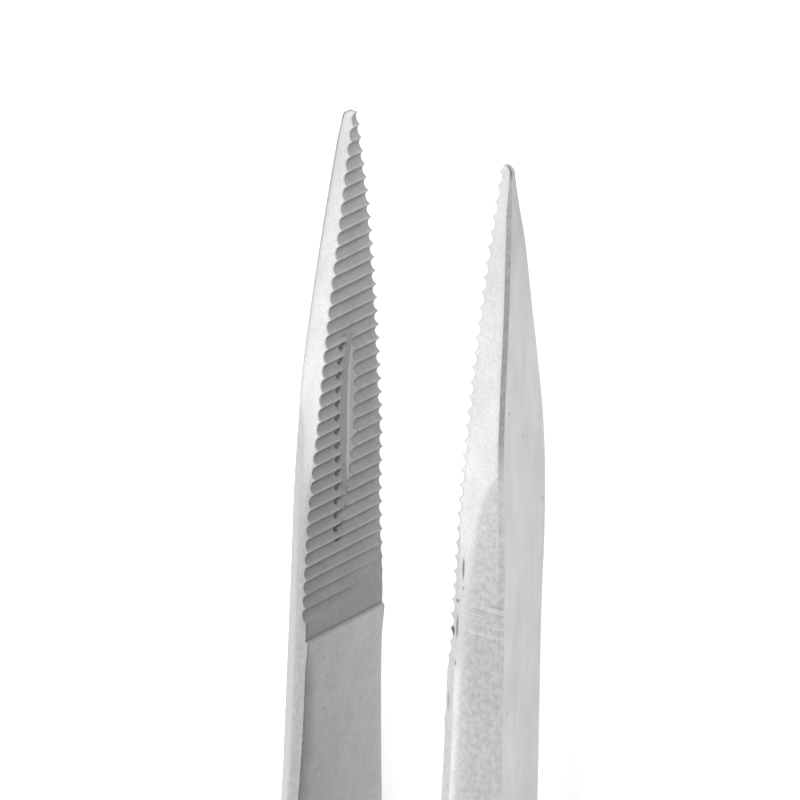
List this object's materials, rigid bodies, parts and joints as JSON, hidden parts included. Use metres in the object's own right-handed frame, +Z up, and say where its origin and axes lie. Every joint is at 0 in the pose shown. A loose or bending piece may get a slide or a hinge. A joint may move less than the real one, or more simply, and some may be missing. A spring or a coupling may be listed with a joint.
{
  "type": "splinter tweezers",
  "caption": "Stainless steel splinter tweezers with two bowed spring arms welded at the tail, and tapered, grooved jaws with fine cross serrations.",
  "frame": {"origin": "middle of the tweezers' footprint, on the surface that the side edges of the grips lie on", "axes": "+X is the way the arms open, from the left arm to the right arm, +Y runs along the arms to the tips, +Z is up, across the arms' width"},
  "size_m": [0.0122, 0.115, 0.0086],
  "materials": {
    "steel": "satin stainless steel, finely cross-brushed on the ground flanks and smooth on the outer faces"
  },
  "bodies": {
    "root": {"left_arm": "steel", "right_arm": "steel"}
  },
  "joints": []
}
